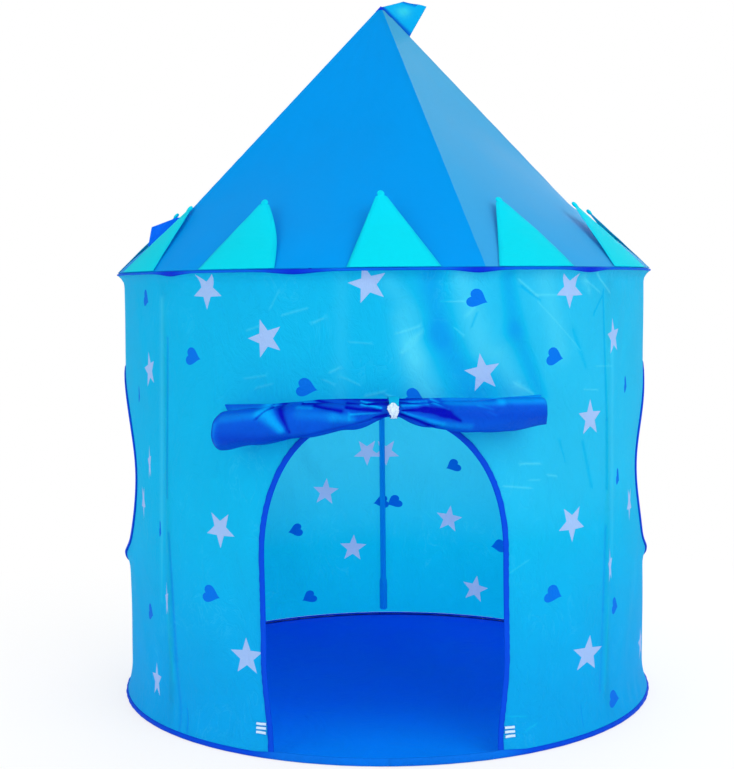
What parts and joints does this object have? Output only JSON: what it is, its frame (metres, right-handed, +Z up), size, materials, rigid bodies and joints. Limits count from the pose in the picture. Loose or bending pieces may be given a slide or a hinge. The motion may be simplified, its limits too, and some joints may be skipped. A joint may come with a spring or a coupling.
{
  "type": "kids play tent",
  "caption": "Round cloth play tent with a pointed roof, a crown of cloth points, round side windows and a rolled-up door curtain.",
  "frame": {"origin": "middle of the ground sheet's underside, on the floor", "axes": "+Z up to the roof's apex, -Y out of the door, +X to the right of someone who looks at the door"},
  "size_m": [1.0538, 1.1035, 1.364],
  "materials": {
    "wall_cloth": "thin woven polyester, slightly see-through",
    "roof_cloth": "thin woven polyester",
    "crown_cloth": "thin woven polyester",
    "flag_cloth": "thin woven polyester",
    "floor_cloth": "coated woven polyester",
    "binding_tape": "woven tape",
    "curtain_cloth": "thin woven polyester, slightly shiny",
    "white_tape": "woven tape with stripes",
    "tie_cord": "flat woven tie",
    "steel_wire": "spring wire",
    "fibreglass": "glass-fibre rod",
    "ferrule_steel": "drawn tube",
    "hub_plastic": "moulded"
  },
  "bodies": {
    "tent": {"front_wall": "wall_cloth", "left_wall": "wall_cloth", "right_wall": "wall_cloth", "roof_front": "roof_cloth", "roof_right": "roof_cloth", "roof_rear": "roof_cloth", "roof_left": "roof_cloth", "left_pole_sleeve": "roof_cloth", "right_pole_sleeve": "roof_cloth", "rear_pole_sleeve": "roof_cloth", "ground_sheet": "floor_cloth", "left_tab": "floor_cloth", "base_hem": "binding_tape", "eave_hem": "binding_tape", "door_binding": "binding_tape", "left_window_binding": "binding_tape", "right_window_binding": "binding_tape", "apex_tape": "binding_tape", "left_base_pocket": "binding_tape", "right_base_pocket": "binding_tape", "rear_base_pocket": "binding_tape", "left_eave_pocket": "binding_tape", "right_eave_pocket": "binding_tape", "rear_eave_pocket": "binding_tape", "left_roof_pocket": "binding_tape", "front_roof_pocket": "binding_tape", "right_roof_pocket": "binding_tape", "rear_roof_pocket": "binding_tape", "curtain_top_strip": "curtain_cloth", "door_tape_left": "white_tape", "door_tape_right": "white_tape", "base_hoop": "steel_wire", "eave_hoop": "steel_wire", "left_wall_pole": "fibreglass", "right_wall_pole": "fibreglass", "rear_wall_pole": "fibreglass", "left_roof_pole": "fibreglass", "front_roof_pole": "fibreglass", "right_roof_pole": "fibreglass", "rear_roof_pole": "fibreglass", "left_pole_ferrule": "ferrule_steel", "right_pole_ferrule": "ferrule_steel", "rear_pole_ferrule": "ferrule_steel", "apex_hub": "hub_plastic"},
    "crown_point_01_body": {"crown_point_01": "crown_cloth"},
    "crown_point_02_body": {"crown_point_02": "crown_cloth"},
    "crown_point_03_body": {"crown_point_03": "crown_cloth"},
    "crown_point_04_body": {"crown_point_04": "crown_cloth"},
    "crown_point_05_body": {"crown_point_05": "crown_cloth"},
    "crown_point_06_body": {"crown_point_06": "crown_cloth"},
    "crown_point_07_body": {"crown_point_07": "crown_cloth"},
    "crown_point_08_body": {"crown_point_08": "crown_cloth"},
    "crown_point_09_body": {"crown_point_09": "crown_cloth"},
    "crown_point_10_body": {"crown_point_10": "crown_cloth"},
    "crown_point_11_body": {"crown_point_11": "crown_cloth"},
    "crown_point_12_body": {"crown_point_12": "crown_cloth"},
    "flag_body": {"top_flag": "flag_cloth"},
    "curtain_body": {"door_curtain": "curtain_cloth", "curtain_tie": "tie_cord"}
  },
  "joints": [
    {"name": "crown_point_01_hinge", "type": "hinge", "parent": "tent", "child": "crown_point_01_body", "pos_m": [0.01101, -0.52568, 0.83105], "axis": [0.9998, 0.0209, 0], "range_deg": [0, 120]},
    {"name": "crown_point_02_hinge", "type": "hinge", "parent": "tent", "child": "crown_point_02_body", "pos_m": [0.25572, -0.45943, 0.83105], "axis": [0.8738, 0.4863, 0], "range_deg": [0, 120]},
    {"name": "crown_point_03_hinge", "type": "hinge", "parent": "tent", "child": "crown_point_03_body", "pos_m": [0.44927, -0.27316, 0.83105], "axis": [0.5195, 0.8545, 0], "range_deg": [0, 120]},
    {"name": "crown_point_04_hinge", "type": "hinge", "parent": "tent", "child": "crown_point_04_body", "pos_m": [0.5258, 0, 0.83105], "axis": [0, 1, 0], "range_deg": [0, 120]},
    {"name": "crown_point_05_hinge", "type": "hinge", "parent": "tent", "child": "crown_point_05_body", "pos_m": [0.45536, 0.2629, 0.83105], "axis": [-0.5, 0.866, 0], "range_deg": [0, 120]},
    {"name": "crown_point_06_hinge", "type": "hinge", "parent": "tent", "child": "crown_point_06_body", "pos_m": [0.25812, 0.45808, 0.83105], "axis": [-0.8712, 0.4909, 0], "range_deg": [0, 120]},
    {"name": "crown_point_07_hinge", "type": "hinge", "parent": "tent", "child": "crown_point_07_body", "pos_m": [0, 0.5258, 0.83105], "axis": [-1, 0, 0], "range_deg": [0, 120]},
    {"name": "crown_point_08_hinge", "type": "hinge", "parent": "tent", "child": "crown_point_08_body", "pos_m": [-0.25732, 0.45853, 0.83105], "axis": [-0.8721, -0.4894, 0], "range_deg": [0, 120]},
    {"name": "crown_point_09_hinge", "type": "hinge", "parent": "tent", "child": "crown_point_09_body", "pos_m": [-0.45536, 0.2629, 0.83105], "axis": [-0.5, -0.866, 0], "range_deg": [0, 120]},
    {"name": "crown_point_10_hinge", "type": "hinge", "parent": "tent", "child": "crown_point_10_body", "pos_m": [-0.5258, 0, 0.83105], "axis": [0, -1, 0], "range_deg": [0, 120]},
    {"name": "crown_point_11_hinge", "type": "hinge", "parent": "tent", "child": "crown_point_11_body", "pos_m": [-0.45536, -0.2629, 0.83105], "axis": [0.5, -0.866, 0], "range_deg": [0, 120]},
    {"name": "crown_point_12_hinge", "type": "hinge", "parent": "tent", "child": "crown_point_12_body", "pos_m": [-0.25652, -0.45898, 0.83105], "axis": [0.8729, -0.4879, 0], "range_deg": [0, 120]},
    {"name": "flag_hinge", "type": "hinge", "parent": "tent", "child": "flag_body", "pos_m": [0.00148, 0.00026, 1.35589], "axis": [0.6966, 0.1228, -0.7069], "range_deg": [-60, 60], "stiffness_Nm_per_rad": 0.02},
    {"name": "curtain_roll_slide", "type": "slide", "parent": "tent", "child": "curtain_body", "axis": [0, 0, -1], "range_m": [0, 0.46], "deforming": ["curtain_top_strip"]}
  ]
}
